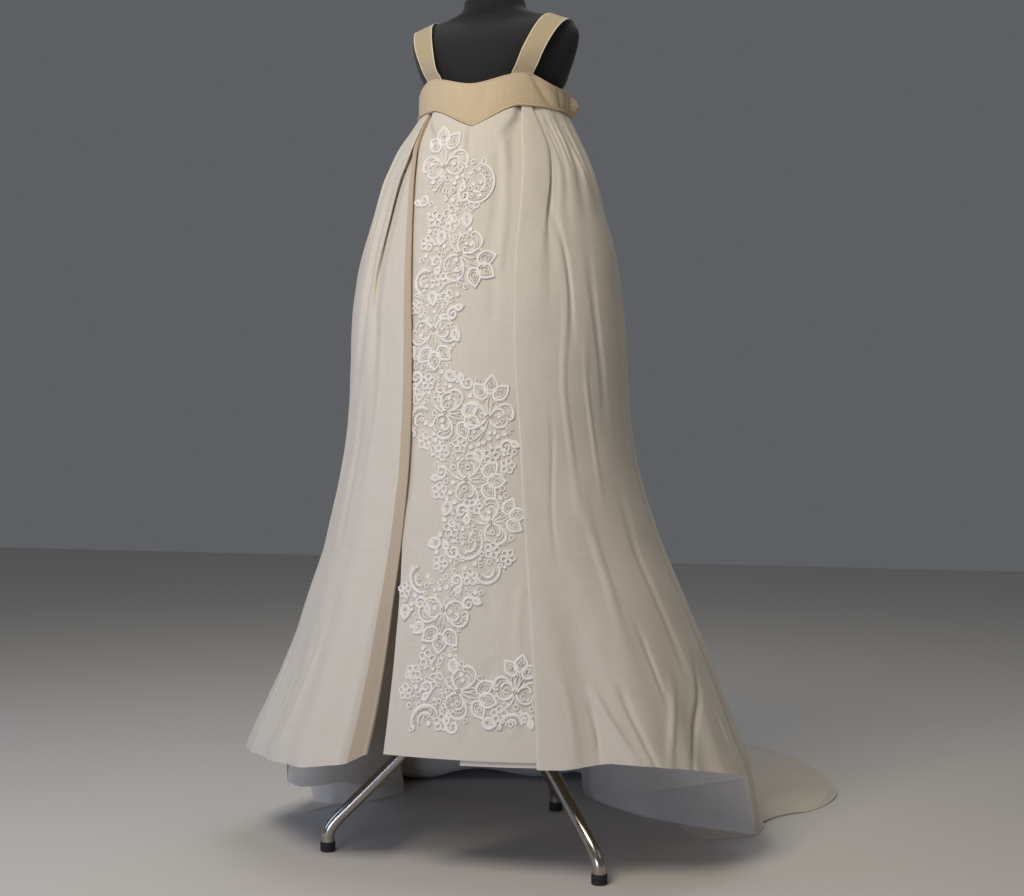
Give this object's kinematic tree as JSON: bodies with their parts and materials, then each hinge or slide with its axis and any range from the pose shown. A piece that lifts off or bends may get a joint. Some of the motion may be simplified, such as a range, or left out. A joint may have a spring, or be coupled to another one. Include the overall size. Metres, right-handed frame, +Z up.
{
  "type": "wedding dress on dress stand",
  "caption": "Empire-line wedding dress with a lace front panel, open overskirt and train, worn by a black limbless form on a steel tripod stand.",
  "frame": {"origin": "bottom centre of the part's box, on the floor that the stand's feet and the train rest on", "axes": "+Z up along the stand's column, -Y out of the gown's front, +X to the gown's left hand side as worn, which is on the right seen from the front"},
  "size_m": [1.0516, 1.364, 1.452],
  "materials": {
    "ivory_silk": "matt slubbed silk",
    "yoke_silk": "matt slubbed silk, warmer",
    "panel_silk_and_lace": "slubbed silk with corded lace and pearls",
    "sheer_ribbon": "sheer organza ribbon",
    "black_jersey": "black stretch jersey over the form",
    "polished_steel": "polished tube",
    "black_rubber": "matt"
  },
  "bodies": {
    "root": {"form": "black_jersey", "column": "polished_steel", "hub": "polished_steel", "leg_1": "polished_steel", "leg_2": "polished_steel", "leg_3": "polished_steel", "foot_1": "black_rubber", "foot_2": "black_rubber", "foot_3": "black_rubber", "front_panel": "panel_silk_and_lace", "skirt_left": "ivory_silk", "skirt_right": "ivory_silk", "train_left": "ivory_silk", "train_right": "ivory_silk", "yoke_front": "yoke_silk", "yoke_back": "yoke_silk", "yoke_piping": "yoke_silk", "ribbon_left": "sheer_ribbon", "ribbon_right": "sheer_ribbon"}
  },
  "joints": []
}
